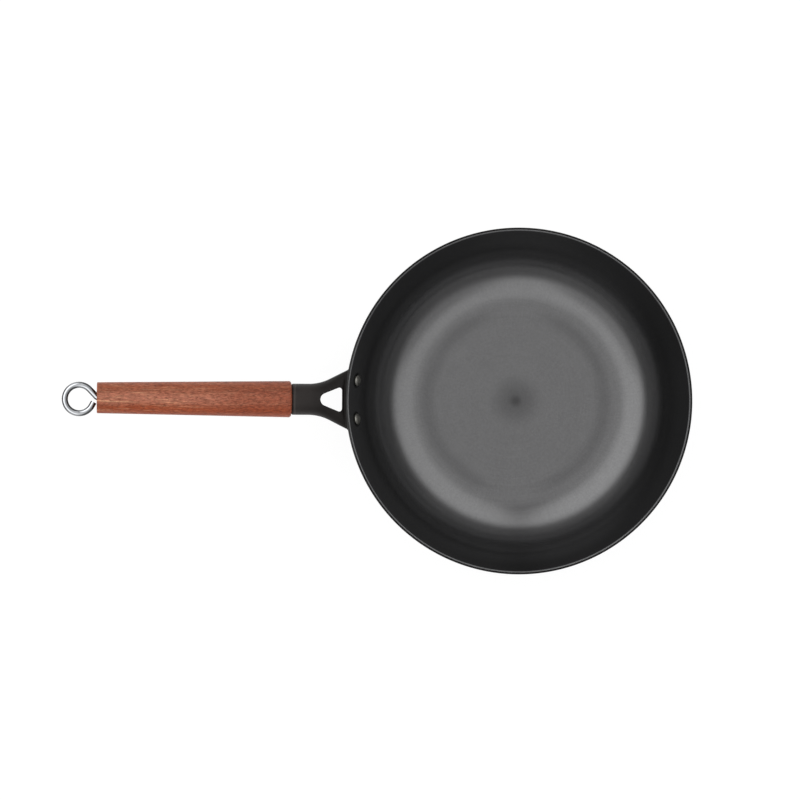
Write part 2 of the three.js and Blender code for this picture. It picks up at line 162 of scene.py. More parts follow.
def wall_at(height, stand_off):
    """Radius of a cone that stands off the middle of the pan's wall, at a height."""
    middle = rim_radius - (rim_height - height) * math.tan(WALL_LEAN)
    return middle + stand_off / math.cos(WALL_LEAN)


def on_wall(sideways):
    """The place on the wall's inside at the rivets' height, with +Z out through the wall."""
    radius = wall_at(rivet_height, -PAN_SHEET / 2)
    azimuth = math.pi - math.asin(sideways / radius)
    outward = Vector((math.cos(azimuth), math.sin(azimuth), -math.tan(WALL_LEAN)))
    spot = Vector((radius * math.cos(azimuth), radius * math.sin(azimuth), rivet_height))
    return Matrix.Translation(spot) @ outward.to_track_quat("Z", "Y").to_matrix().to_4x4()


rivet_places = [on_wall(side * RIVET_SPACING / 2) for side in (1, -1)]

# The handle's own frame: its origin is on the plate, and the handle runs along its -X
handle_frame = Matrix.Translation((-wall_at(rivet_height, plate_outside), 0, rivet_height))
handle_frame = handle_frame @ Matrix.Rotation(HANDLE_TILT, 4, "Y")

# Turns a shape drawn round +Z so that its axis runs along the handle
along_handle = handle_frame @ Matrix.Rotation(-math.pi / 2, 4, "Y")


# Mesh helpers


def steps_between(start, end, count):
    """Evenly spaced values, both ends included."""
    return [start + (end - start) * i / count for i in range(count + 1)]


def arc(x, y, radius, start, end, count):
    """Points of an arc in a flat drawing, both ends included."""
    angles = steps_between(start, end, count)
    return [(x + radius * math.cos(a), y + radius * math.sin(a)) for a in angles]


def line(start, end, count):
    """Points along a straight line in a flat drawing, without its ends."""
    run = end[0] - start[0]
    rise = end[1] - start[1]
    shares = steps_between(0, 1, count)[1:-1]
    return [(start[0] + run * s, start[1] + rise * s) for s in shares]


def turned(profile, segments):
    """Loops of a profile of radius and distance, turned round +Z."""
    angles = [2 * math.pi * i / segments for i in range(segments)]
    return [[Vector((r * math.cos(a), r * math.sin(a), z)) for a in angles] for r, z in profile]


def tube(path, radius_at, sides):
    """Loops round a path. radius_at gives the radius at a step of the path and an angle round it.
    Each loop turns as little as it can from the one before."""
    angles = [2 * math.pi * k / sides for k in range(sides)]
    across = (path[1] - path[0]).normalized().orthogonal().normalized()
    loops = []
    for i, point in enumerate(path):
        ahead = (path[min(i + 1, len(path) - 1)] - path[max(i - 1, 0)]).normalized()
        across = (across - ahead * across.dot(ahead)).normalized()
        up = ahead.cross(across)
        loop = []
        for angle in angles:
            outward = across * math.cos(angle) + up * math.sin(angle)
            loop.append(point + outward * radius_at(i, angle))
        loops.append(loop)
    return loops


def skin(loops, ring=False, capped=False):
    """Vertices and faces over loops of equally many points. A ring joins its last loop to its
    first. A cap pairs each point of an end loop with the point that mirrors it."""
    size = len(loops[0])
    points = [point for loop in loops for point in loop]
    faces = []
    for row in range(len(loops) if ring else len(loops) - 1):
        below = row * size
        above = (row + 1) % len(loops) * size
        for i in range(size):
            j = (i + 1) % size
            faces.append((below + i, below + j, above + j, above + i))
    if capped:
        for start in (0, len(points) - size):
            for i in range(size // 2 - 1):
                mirror = size - 1 - i
                faces.append((start + i, start + i + 1, start + mirror - 1, start + mirror))
    return points, faces


def build(name, points, faces, place=Matrix.Identity(4), crease=CREASE):
    """A smooth-shaded mesh object in metres, with doubled points merged and its faces turned out."""
    mesh = bpy.data.meshes.new(name)
    mesh.from_pydata([place @ Vector(p) * MM for p in points], [], faces)
    shape = bmesh.new()
    shape.from_mesh(mesh)
    merge_distance = 1e-7
    bmesh.ops.remove_doubles(shape, verts=shape.verts, dist=merge_distance)
    bmesh.ops.dissolve_degenerate(shape, edges=shape.edges, dist=merge_distance)
    bmesh.ops.recalc_face_normals(shape, faces=shape.faces)
    shape.to_mesh(mesh)
    shape.free()
    made = bpy.data.objects.new(name, mesh)
    bpy.context.scene.collection.objects.link(made)
    smooth(made, crease)
    return made


def smooth(made, crease=CREASE):
    """Smooth shading, but for edges sharper than the crease."""
    made.data.shade_smooth()
    made.data.set_sharp_from_angle(angle=math.radians(crease))


def cut(made, cutters):
    """Takes the cutters' shapes out of an object, and then the cutters out of the scene."""
    for cutter in cutters:
        tool = made.modifiers.new("cut", "BOOLEAN")
        tool.object = cutter
        tool.solver = "EXACT"
    bpy.context.view_layer.update()
    evaluated = made.evaluated_get(bpy.context.evaluated_depsgraph_get())
    made.data = bpy.data.meshes.new_from_object(evaluated)
    made.modifiers.clear()
    for cutter in cutters:
        bpy.data.objects.remove(cutter)
    smooth(made)


def finish_piece(made, body, materials, replaced=()):
    """Gives a piece its materials, its body and the solids that it replaces."""
    made.data.materials.clear()
    for material in materials:
        made.data.materials.append(material)
    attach(made, body)
    if replaced:
        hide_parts(*replaced)


# Node helpers


class Shader:
    """Builds the nodes of one procedural material."""

    def __init__(self, name):
        self.material = bpy.data.materials.new(name)
        self.material.use_nodes = True
        self.tree = self.material.node_tree
        self.tree.nodes.clear()
        self.output = self.node("OutputMaterial")
        coordinates = self.node("TexCoord").outputs
        self.place = coordinates["Object"]
        self.normal = coordinates["Normal"]

    def principled(self, metallic=0.0, ior=1.5):
        """Makes the surface that drive and bump work on."""
        self.surface = self.node("BsdfPrincipled", {"Metallic": metallic, "IOR": ior})
        self.show(self.surface.outputs[0])

    def show(self, shader):
        self.feed(self.output.inputs["Surface"], shader)

    def node(self, kind, inputs=None, **settings):
        made = self.tree.nodes.new("ShaderNode" + kind)
        for key, value in settings.items():
            setattr(made, key, value)
        for key, value in (inputs or {}).items():
            self.feed(made.inputs[key], value)
        return made

    def feed(self, socket, value):
        if isinstance(value, bpy.types.NodeSocket):
            self.tree.links.new(value, socket)
        else:
            socket.default_value = value

    def drive(self, socket, value):
        self.feed(self.surface.inputs[socket], value)

    def math(self, operation, first, second=0.0):
        return self.node("Math", {0: first, 1: second}, operation=operation).outputs[0]

    def product(self, *values):
        made = values[0]
        for value in values[1:]:
            made = self.math("MULTIPLY", made, value)
        return made

    def vector(self, operation, first, second):
        return self.node("VectorMath", {0: first, 1: second}, operation=operation).outputs[0]

    def measure(self, operation, first, second=(0.0, 0.0, 0.0)):
        return self.node("VectorMath", {0: first, 1: second}, operation=operation).outputs["Value"]

    def axis(self, vector, name):
        return self.node("SeparateXYZ", {0: vector}).outputs[name]

    def mix(self, share, first, second):
        """A mix of two colours. The numbers are the node's sockets for colours."""
        inputs = {0: share, 6: first, 7: second}
        return self.node("Mix", inputs, data_type="RGBA").outputs[2]

    def more(self, value):
        """1 plus the value."""
        return self.math("ADD", 1.0, value)

    def less(self, value):
        """1 minus the value."""
        return self.math("SUBTRACT", 1.0, value)

    def between(self, value, low, high, start=0.0, end=1.0):
        """A smooth step from start to end while the value goes from low to high."""
        inputs = {"Value": value, "From Min": low, "From Max": high, "To Min": start, "To Max": end}
        return self.node("MapRange", inputs, interpolation_type="SMOOTHSTEP").outputs[0]

    def hump(self, value, middle, reach):
        """1 at the middle, down to 0 at the reach on both sides."""
        distance = self.math("ABSOLUTE", self.math("SUBTRACT", value, middle))
        return self.between(distance, 0.0, reach, 1.0, 0.0)

    def noise(self, vector, scale, detail=3.0, roughness=0.5):
        inputs = {"Vector": vector, "Scale": scale, "Detail": detail, "Roughness": roughness}
        return self.node("TexNoise", inputs).outputs["Fac"]

    def stretched_noise(self, vector, scales, detail=3.0, roughness=0.5):
        """Noise with a scale of its own along each axis."""
        return self.noise(self.vector("MULTIPLY", vector, scales), 1.0, detail, roughness)

    def tinted(self, tone, colour):
        """A colour times a tone."""
        scaled = self.node("VectorMath", {0: colour, "Scale": tone}, operation="SCALE")
        return scaled.outputs[0]

    def bump(self, height, depth):
        inputs = {"Height": height, "Distance": depth, "Strength": 1.0}
        self.drive("Normal", self.node("Bump", inputs).outputs["Normal"])


# Materials, with lengths in metres


def iron_inside():
    """Finished inside of the pan: fine turning marks and brushing, a soft dark painted reflection in
    the middle, a faint ring of painted shade where the floor ends, a painted highlight on the corner,
    a wall darker as painted shade, painted shade round the rivets, and a rim bared by wear with a
    painted highlight."""
    shader = Shader("iron_inside")
    shader.principled(metallic=0.965)
    flat = shader.vector("MULTIPLY", shader.place, (1.0, 1.0, 0.0))
    radius = shader.measure("LENGTH", flat)
    heading = shader.node("VectorMath", {0: flat}, operation="NORMALIZE").outputs[0]
    from_handle = shader.axis(heading, "X")

    # Painted reflection of the dark overhead: a soft dark spot in the middle of the floor.
    painted_reflection_core = shader.between(radius, 0.001, 0.007, 0.64, 1.0)
    painted_reflection_halo = shader.between(radius, 0.005, 0.026, 0.70, 1.0)

    # Painted shade in the reflection: a faint darker ring where the floor ends, left out near the Y
    # axis.
    shade_ring_rise = shader.between(radius, 0.063, 0.074)
    shade_ring_fall = shader.between(radius, 0.074, 0.082, 1.0, 0.0)
    sideways = shader.between(shader.math("ABSOLUTE", shader.axis(flat, "X")), 0.010, 0.040)
    shade_ring_depth = 0.18
    ring = shader.less(shader.product(shade_ring_rise, shade_ring_fall, sideways, shade_ring_depth))

    # Painted highlight on the corner's bright ring, stronger on one side.
    far_side = shader.measure("DOT_PRODUCT", heading, (0.55, -0.83, 0.0))
    corner_highlight_gain = shader.between(far_side, -0.9, 0.9, 0.45, 0.12)
    corner = shader.more(shader.product(shader.hump(radius, 0.1165, 0.011), corner_highlight_gain))
    # Painted shade: the wall darkens from where it starts, deeper on one side.
    blackened = shader.between(far_side, -0.9, 0.9, 0.56, 0.25)
    wall_start = shader.between(from_handle, 0.45, 1.0, 0.119, 0.112)
    wall = shader.between(shader.math("SUBTRACT", radius, wall_start), 0.0, 0.016, 1.0, blackened)
    # A rim bared by wear, brightened further as a painted highlight that is strongest beside the
    # handle.
    rim_wear_and_highlight = shader.between(from_handle, -0.97, -0.85, 6.4, 4.8)
    rim = shader.between(radius, 0.1374, 0.1378, 0.0, rim_wear_and_highlight)

    # Painted shade round each rivet's head, reaching further up the wall.
    shade_lift = Vector((0, RIVET_SHADE_RISE, 0))
    seats = [shader.measure("DISTANCE", shader.place, place @ shade_lift * MM) for place in rivet_places]
    seat = shader.between(shader.math("MINIMUM", *seats), 0.0058, 0.0068, 0.12, 1.0)

    turning = shader.node("CombineXYZ", {"X": radius}).outputs[0]
    slow_heading = shader.vector("MULTIPLY", heading, (0.004, 0.004, 0.0))
    marks = shader.noise(shader.vector("ADD", turning, slow_heading), 900.0, 4.0, 0.6)
    outward = shader.node("CombineXYZ", {"Z": shader.product(radius, 1.25)}).outputs[0]
    brushing = shader.noise(shader.vector("ADD", heading, outward), 100.0, 3.0, 0.6)
    grain = shader.noise(shader.place, 700.0, 2.0)
    cloud = shader.noise(shader.place, 45.0, 4.0)

    tone = shader.product(painted_reflection_core, painted_reflection_halo, ring, corner, seat, shader.math("ADD", wall, rim))
    tone = shader.product(tone, shader.between(marks, 0.2, 0.8, 0.96, 1.04))
    tone = shader.product(tone, shader.between(brushing, 0.3, 0.7, 0.97, 1.03))
    tone = shader.product(tone, shader.between(grain, 0.3, 0.7, 0.96, 1.04))
    tone = shader.product(tone, shader.between(cloud, 0.2, 0.8, 0.98, 1.02))
    shader.drive("Base Color", shader.tinted(tone, (0.150, 0.150, 0.152)))
    shader.drive("Roughness", shader.between(marks, 0.2, 0.8, 0.18, 0.24))
    shader.bump(marks, 0.000002)
    return shader.material


def iron_outside():
    """Blackened outside of the pan, uneven from the fire. The top of the rim's outer half is darker as
    painted shade, but lighter beside the handle as a painted highlight.
    """
    shader = Shader("iron_outside")
    shader.principled(metallic=1.0)
    cloud = shader.noise(shader.place, 28.0, 6.0, 0.6)
    grain = shader.noise(shader.place, 1800.0, 3.0)
    # Painted shade on the top of the rim's outer half, with a painted highlight beside the handle.
    rim_crown_shade = shader.between(shader.axis(shader.place, "X"), -0.136, -0.126, 0.85, 0.35)
    edge = shader.between(shader.axis(shader.place, "Z"), 0.0612, 0.0619, 1.0, rim_crown_shade)
    fire_tone = shader.between(cloud, 0.3, 0.7, 0.8, 1.2)
    grain_tone = shader.between(grain, 0.2, 0.8, 0.85, 1.15)
    tone = shader.product(edge, fire_tone, grain_tone)
    shader.drive("Base Color", shader.tinted(tone, (0.050, 0.049, 0.049)))
    shader.drive("Roughness", shader.between(cloud, 0.3, 0.7, 0.36, 0.5))
    shader.bump(grain, 0.00003)
    return shader.material


def black_paint():
    """Satin heat-resistant paint with a fine orange peel, darker towards the pan as painted shade, and
    a painted highlight as a pale line along the socket's mouth."""
    shader = Shader("black_paint")
    shader.principled(ior=1.22)
    peel = shader.noise(shader.place, 900.0, 3.0)
    cloud = shader.noise(shader.place, 60.0, 5.0, 0.6)
    along = shader.axis(shader.place, "X")
    # Painted shade: darker towards the pan, over the fork, the plate and the weld.
    painted_pan_side_shade = shader.between(along, -0.176, -0.155, 1.0, 0.46)
    # Painted highlight: a pale line along the socket's mouth.
    painted_lip_highlight = shader.hump(along, -0.1808, 0.0009)
    cloud_tone = shader.between(cloud, 0.3, 0.7, 0.88, 1.12)
    tone = shader.product(cloud_tone, shader.math("ADD", painted_pan_side_shade, painted_lip_highlight))
    shader.drive("Base Color", shader.tinted(tone, (0.0290, 0.0249, 0.0235)))
    shader.drive("Roughness", shader.between(cloud, 0.3, 0.7, 0.40, 0.50))
    shader.bump(peel, 0.00004)
    return shader.material


def plain_steel(name, colour, rough_low, rough_high):
    """Bare or plated steel with clouding and fine scratches."""
    shader = Shader(name)
    shader.principled(metallic=1.0)
    cloud = shader.noise(shader.place, 350.0, 4.0, 0.6)
    scratches = shader.stretched_noise(shader.place, (600.0, 600.0, 6000.0))
    cloud_tone = shader.between(cloud, 0.3, 0.7, 0.85, 1.1)
    scratch_tone = shader.between(scratches, 0.2, 0.8, 0.9, 1.1)
    tone = shader.product(cloud_tone, scratch_tone)
    shader.drive("Base Color", shader.tinted(tone, colour))
    shader.drive("Roughness", shader.between(scratches, 0.2, 0.8, rough_low, rough_high))
    shader.bump(scratches, 0.000008)
    return shader.material


def bright_plating():
    """Plated wire, with a painted highlight along a band on top and below and painted shade down its
    sides, set by which way the surface faces.
    """
    shader = Shader("bright_plating")
    shader.principled(metallic=1.0)
    # Painted reflection: light along a band on top and below, shade down the sides.
    upright = shader.math("ABSOLUTE", shader.axis(shader.normal, "Z"))
    lean = shader.math("ABSOLUTE", shader.math("ADD", shader.axis(shader.normal, "X"), 0.15))
    cloud = shader.noise(shader.place, 350.0, 4.0, 0.6)
    sides = shader.between(upright, 0.45, 0.90, 0.22, 1.0)
    painted_highlight_band = shader.between(lean, 0.08, 0.45, 1.0, 0.25)
    tone = shader.product(sides, painted_highlight_band, shader.between(cloud, 0.3, 0.7, 0.9, 1.05))
    shader.drive("Base Color", shader.tinted(tone, (0.80, 0.82, 0.85)))
    shader.drive("Roughness", shader.between(cloud, 0.3, 0.7, 0.08, 0.16))
    shader.bump(cloud, 0.000008)
    return shader.material


def grain_direction(shader):
    """The place in the wood, with +X along the handle and a slow wander to the side."""
    turned_place = shader.node(
        "VectorRotate",
        {"Vector": shader.place, "Angle": -HANDLE_TILT},
        rotation_type="Y_AXIS",
    ).outputs[0]
    wander = shader.stretched_noise(turned_place, (14.0, 60.0, 60.0), 2.0)
    drift = shader.node("CombineXYZ", {"Y": shader.product(wander, 0.004)}).outputs[0]
    return shader.vector("ADD", turned_place, drift)


def reddish_wood():
    """Open-pored reddish hardwood: bands of colour along the handle, short dark pores and a few pale
    streaks. The redder near side is darkened as painted shade, and the edge of that side is paler
    towards the pan as painted light from the floor."""
    dark_band = (0.235, 0.052, 0.020, 1)
    pale_band = (0.330, 0.095, 0.046, 1)
    tan = (0.400, 0.145, 0.080, 1)
    shaded_red = (0.335, 0.060, 0.016, 1)
    brown = (0.265, 0.055, 0.025, 1)
    pink = (0.400, 0.170, 0.115, 1)
    golden = (0.580, 0.285, 0.155, 1)
    pore_brown = (0.095, 0.021, 0.010, 1)

    shader = Shader("reddish_wood")
    shader.principled(ior=1.32)
    place = grain_direction(shader)
    across = shader.axis(place, "Y")
    along = shader.axis(place, "X")
    to_pan = shader.between(along, -0.29, -0.20)

    # Bands and mottling
    bands = shader.stretched_noise(place, (9.0, 170.0, 170.0), 4.0, 0.6)
    mottle = shader.stretched_noise(place, (80.0, 330.0, 330.0), 4.0, 0.7)
    colour = shader.mix(shader.between(bands, 0.35, 0.65), dark_band, pale_band)
    colour = shader.mix(shader.between(mottle, 0.40, 0.72, 0.0, 0.7), colour, tan)

    # Layers: redder at the near side, darkened there as painted shade, browner towards the pan and
    # pink in the middle
    colour = shader.mix(shader.product(shader.hump(across, -0.0085, 0.006), 0.75), colour, shaded_red)
    colour = shader.mix(shader.product(to_pan, 0.40), colour, brown)
    pink_level = shader.between(to_pan, 0.0, 1.0, 0.42, 0.08)
    colour = shader.mix(shader.product(shader.hump(across, 0.0022, 0.0085), pink_level), colour, pink)

    # Short streaks, and a long one that leans across the handle's tail
    streaks = shader.stretched_noise(place, (40.0, 820.0, 820.0), 2.0, 0.6)
    streak_level = shader.between(along, -0.34, -0.22, 0.75, 0.15)
    short_streaks = shader.product(shader.between(streaks, 0.56, 0.72), streak_level)
    lean = shader.product(shader.math("ADD", along, 0.34), 0.06)
    from_tail = shader.between(along, -0.327, -0.305, 0.8, 0.0)
    beside_streak = shader.math("ADD", across, lean)
    long_streak = shader.product(shader.hump(beside_streak, -0.0005, 0.0008), from_tail)
    colour = shader.mix(shader.math("MAXIMUM", short_streaks, long_streak), colour, golden)

    # Darker layer, painted light from the floor on the near side's edge, paler towards the pan, and
    # flecks
    flecks = shader.stretched_noise(place, (300.0, 1000.0, 1000.0), 3.0, 0.7)
    dark_layer = shader.less(shader.product(shader.hump(across, 0.0085, 0.006), 0.16))
    # Painted light from the floor: the near side's edge is paler towards the pan.
    floor_light_gain = shader.between(to_pan, 0.0, 1.0, -0.12, 0.45)
    painted_floor_light = shader.more(shader.product(shader.hump(across, -0.0135, 0.005), floor_light_gain))
    front_tone = shader.between(to_pan, 0.0, 1.0, 1.13, 0.97)
    fleck_tone = shader.between(flecks, 0.25, 0.75, 0.58, 1.42)
    colour = shader.tinted(shader.product(dark_layer, painted_floor_light, front_tone, fleck_tone), colour)

    # Pores
    pores = shader.stretched_noise(place, (280.0, 1250.0, 1250.0), 2.0, 0.7)
    pore_share = shader.between(pores, 0.56, 0.68)
    colour = shader.mix(shader.product(pore_share, 0.6), colour, pore_brown)
    shader.drive("Base Color", colour)
    shader.drive("Roughness", shader.between(pores, 0.4, 0.7, 0.42, 0.62))
    shader.bump(shader.less(pore_share), 0.00012)
    return shader.material


inside_material = iron_inside()
outside_material = iron_outside()
paint_material = black_paint()
rivet_material = plain_steel("rivet_steel", (0.39, 0.38, 0.345), 0.20, 0.32)
zinc_material = plain_steel("zinc_plate", (0.56, 0.56, 0.54), 0.25, 0.4)
plating_material = bright_plating()
wood_material = reddish_wood()


# Pan body


def rivet_holes():
    """Cutters for both rivets' holes through wall and plate."""
    radius = RIVET_SHANK / 2 + FIT_GAP
    reach = 2 * (PAN_SHEET + PLATE_SHEET)
    profile = [(0, -reach), (radius, -reach), (radius, reach), (0, reach)]
    return [build("hole", *skin(turned(profile, 32)), place) for place in rivet_places]


def is_outside(face):
    """Whether a face is on the pan's blackened outside, which reaches over the top of the rim."""
    border_on_rim = -0.7
    border_on_wall = 0.01
    facing_down = -0.5
    away = Vector((face.center.x, face.center.y, 0)).normalized()
    facing_out = face.normal.dot(away)
    if face.center.z > rim_height * MM:
        return facing_out > border_on_rim
    return facing_out > border_on_wall or face.normal.z < facing_down


def pan_shell():
    """The pan's sheet with its rivet holes, finished inside and blackened outside."""
    corner = (floor_radius, PAN_SHEET + CORNER_RADIUS)
    outside = arc(*corner, CORNER_RADIUS + PAN_SHEET, -math.pi / 2, -WALL_LEAN, 24)
    rim = arc(rim_radius, rim_height, PAN_SHEET / 2, -WALL_LEAN, math.pi - WALL_LEAN, 14)
    inside = arc(*corner, CORNER_RADIUS, -WALL_LEAN, -math.pi / 2, 32)
    underside = [(0, 0), *line((0, 0), outside[0], 6)]
    outer_wall = line(outside[-1], rim[0], 14)
    inner_wall = line(rim[-1], inside[0], 14)
    floor = [*line(inside[-1], (0, PAN_SHEET), 8), (0, PAN_SHEET)]
    profile = underside + outside + outer_wall + rim + inner_wall + inside + floor
    made = build("pan_shell", *skin(turned(profile, 360)))
    cut(made, rivet_holes())
    finish_piece(made, "pan", [inside_material, outside_material], ["pan_body"])
    for face in made.data.polygons:
        face.material_index = 1 if is_outside(face) else 0


pan_shell()


# Mount plate


def plate_loop(inset, stand_off):
    """The plate's rounded outline, drawn in by an inset, on a cone that stands off the wall. It
    starts at the middle of its left side and runs over the top."""
    half_width = PLATE_WIDTH / 2 - inset
    half_height = PLATE_HEIGHT * math.cos(WALL_LEAN) / 2 - inset
    least_corner = 0.1
    corner = max(PLATE_CORNER - inset, least_corner)
    left = arc(corner - half_width, half_height - corner, corner, math.pi, math.pi / 2, 8)
    right = arc(half_width - corner, half_height - corner, corner, math.pi / 2, 0, 8)
    top = [*left, *line(left[-1], right[0], 24), *right]
    outline = top + [(y, -z) for y, z in reversed(top)]
    loop = []
    for y, z in outline:
        height = rivet_height + z
        radius = wall_at(height, stand_off)
        loop.append(Vector((-math.sqrt(radius ** 2 - y ** 2), y, height)))
    return loop


def mount_plate():
    """A curved plate against the wall, with rounded edges and the rivets' holes."""
    deepest = PLATE_HEIGHT * math.cos(WALL_LEAN) / 2 - EDGE_ROUND
    insets = steps_between(deepest, EDGE_ROUND, 8)
    inner = [plate_loop(inset, plate_inside) for inset in insets]
    outer = [plate_loop(inset, plate_outside) for inset in reversed(insets)]
    inner_edge = arc(EDGE_ROUND, plate_inside + EDGE_ROUND, EDGE_ROUND, -math.pi / 2, -math.pi, 4)
    outer_edge = arc(EDGE_ROUND, plate_outside - EDGE_ROUND, EDGE_ROUND, math.pi, math.pi / 2, 4)
    edge = [plate_loop(inset, stand_off) for inset, stand_off in inner_edge[1:] + outer_edge[:-1]]
    made = build("plate_sheet", *skin(inner + edge + outer, capped=True))
    cut(made, rivet_holes())
    finish_piece(made, "pan", [paint_material], ["mount_plate"])


mount_plate()


# Rivets


def rivet(name, place, replaced):
    """A rivet from the top of its head, inside the pan, to its tail outside the plate."""
    head_radius = RIVET_HEAD / 2
    shank_radius = RIVET_SHANK / 2
    tail_radius = RIVET_TAIL / 2
    head_top = -RIVET_HEAD_HEIGHT - FIT_GAP
    dome_height = RIVET_HEAD_HEIGHT - RIVET_EDGE
    dome = []
    for share in steps_between(0, 1, 16):
        dome.append((head_radius * share, head_top + dome_height * share ** DOME_POWER))
    tail_start = PAN_SHEET + FIT_GAP + PLATE_SHEET + FIT_GAP
    tail_round = RIVET_TAIL_HEIGHT / 2
    tail = [
        (tail_radius, tail_start),
        *arc(tail_radius - tail_round, tail_start + tail_round, tail_round, 0, math.pi / 2, 6),
        (0, tail_start + RIVET_TAIL_HEIGHT),
    ]
    profile = [
        *dome,
        (head_radius, -FIT_GAP),
        (shank_radius, -FIT_GAP),
        (shank_radius, tail_start),
        *tail,
    ]
    made = build(name, *skin(turned(profile, 48)), place)
    finish_piece(made, "pan", [rivet_material], [replaced])


rivet("rivet_dome_left", rivet_places[0], "rivet_left")
rivet("rivet_dome_right", rivet_places[1], "rivet_right")


# Handle bracket


def fork_half_width(along):
    """Half the bracket's width in plan: round socket, fillet, straight spread, full width."""
    run = flare_start - along
    fillet_run = FORK_FILLET * math.sin(FORK_ANGLE)
    if run <= 0:
        return socket_radius
    if run <= fillet_run:
        return socket_radius + FORK_FILLET - math.sqrt(FORK_FILLET ** 2 - run ** 2)
    spread = FORK_FILLET * (1 - math.cos(FORK_ANGLE)) + (run - fillet_run) * math.tan(FORK_ANGLE)
    return min(socket_radius + spread, FORK_WIDTH / 2)


def raw_section(across, open_share):
    """A point of the sheet's outside, between the slit circle of the socket and the fork's arch."""
    closed_angle = math.pi - math.asin(SOCKET_SEAM / 2 / socket_radius)
    turn = across * closed_angle
    round_point = Vector((socket_radius * math.sin(turn), socket_radius * math.cos(turn)))
    arch_angle = min(abs(across) / ARCH_SHARE, 1) * math.pi / 2
    skirt_share = max(abs(across) - ARCH_SHARE, 0) / (1 - ARCH_SHARE)
    skirt_top = FORK_CROWN - FORK_RISE
    skirt_drop = skirt_share * (skirt_top + FORK_SKIRT)
    width = math.copysign(FORK_WIDTH / 2 * math.sin(arch_angle), across)
    arch = Vector((width, skirt_top + FORK_RISE * math.cos(arch_angle) - skirt_drop))
    return round_point.lerp(arch, open_share)


section_places = steps_between(-1, 1, 96)


def bracket_section(along):
    """The sheet's outside at one place along the bracket, as points of width and height."""
    half_width = fork_half_width(along)
    open_share = (half_width - socket_radius) / (FORK_WIDTH / 2 - socket_radius)
    points = [raw_section(across, open_share) for across in section_places]
    widest = max(point.x for point in points)
    return [Vector((point.x * half_width / widest, point.y)) for point in points]


def bracket_point(column, along, depth):
    """A point of the bracket in the handle's frame: a column of the section, a place along the
    handle and a depth under the sheet's outside."""
    points = bracket_section(along)
    before = points[max(column - 1, 0)]
    after = points[min(column + 1, len(points) - 1)]
    run = (after - before).normalized()
    point = points[column] + Vector((run.y, -run.x)) * depth
    return Vector((-along, point.x, point.y))


def stand_off_at(point):
    """How far a point of the handle's frame lies outside the mount plate's seat for the fork."""
    world = handle_frame @ point
    return math.hypot(world.x, world.y) - wall_at(world.z, plate_outside + FIT_GAP)


def fork_foot(column, depth):
    """How far along the handle a column of the section meets the mount plate, by halving."""
    reach = 15.0
    halvings = 24
    low = -reach
    high = reach
    for _ in range(halvings):
        middle = (low + high) / 2
        if stand_off_at(bracket_point(column, middle, depth)) < 0:
            low = middle
        else:
            high = middle
    return (low + high) / 2


def bracket_loop(place, depth_out, depth_in):
    """A closed loop round the sheet: its outside, then back along its inside. place(column, depth)
    says how far along the handle each point is."""
    columns = range(len(section_places))
    outside = [bracket_point(c, place(c, depth_out), depth_out) for c in columns]
    inside = [bracket_point(c, place(c, depth_in), depth_in) for c in reversed(columns)]
    return outside + inside


def window_outline():
    """The fork's three-cornered window, with rounded corners."""
    corners = [
        (Vector((-WINDOW_MARGIN, WINDOW_BASE / 2)), WINDOW_CORNER),
        (Vector((-window_tip, 0)), WINDOW_NOSE),
        (Vector((-WINDOW_MARGIN, -WINDOW_BASE / 2)), WINDOW_CORNER),
    ]
    outline = []
    for i, (corner, radius) in enumerate(corners):
        before = (corners[i - 1][0] - corner).normalized()
        after = (corners[(i + 1) % len(corners)][0] - corner).normalized()
        half = math.acos(before.dot(after)) / 2
        middle = corner + (before + after).normalized() * radius / math.sin(half)
        inward = math.atan2((corner - middle).y, (corner - middle).x)
        sweep = math.pi / 2 - half
        outline += arc(middle.x, middle.y, radius, inward - sweep, inward + sweep, 12)
    return outline


def window_cutter():
    """A prism that cuts the window through the top of the fork."""
    outline = window_outline()
    loops = [[Vector((x, y, z)) for x, y in outline] for z in (0, SOCKET_DIAMETER)]
    points, faces = skin(loops)
    size = len(outline)
    faces += [tuple(range(size)), tuple(range(size, 2 * size))]
    return build("window", points, faces, handle_frame)


def round_window(made):
    """Rounds the sheet's edges along the window."""
    slack = 1.0
    sharp = math.radians(50)
    shape = bmesh.new()
    shape.from_mesh(made.data)
    to_handle = handle_frame.inverted()
    edges = []
    for edge in shape.edges:
        middle = to_handle @ ((edge.verts[0].co + edge.verts[1].co) / 2 / MM)
        in_length = -window_tip < middle.x < slack - WINDOW_MARGIN
        in_width = abs(middle.y) < WINDOW_BASE / 2
        near = in_length and in_width and middle.z > 0
        if near and len(edge.link_faces) == 2 and edge.calc_face_angle() > sharp:
            edges.append(edge)
    bmesh.ops.bevel(
        shape,
        geom=edges,
        offset=EDGE_ROUND * MM,
        offset_type="OFFSET",
        segments=3,
        profile=0.5,
        affect="EDGES",
        clamp_overlap=True,
    )
    shape.to_mesh(made.data)
    shape.free()


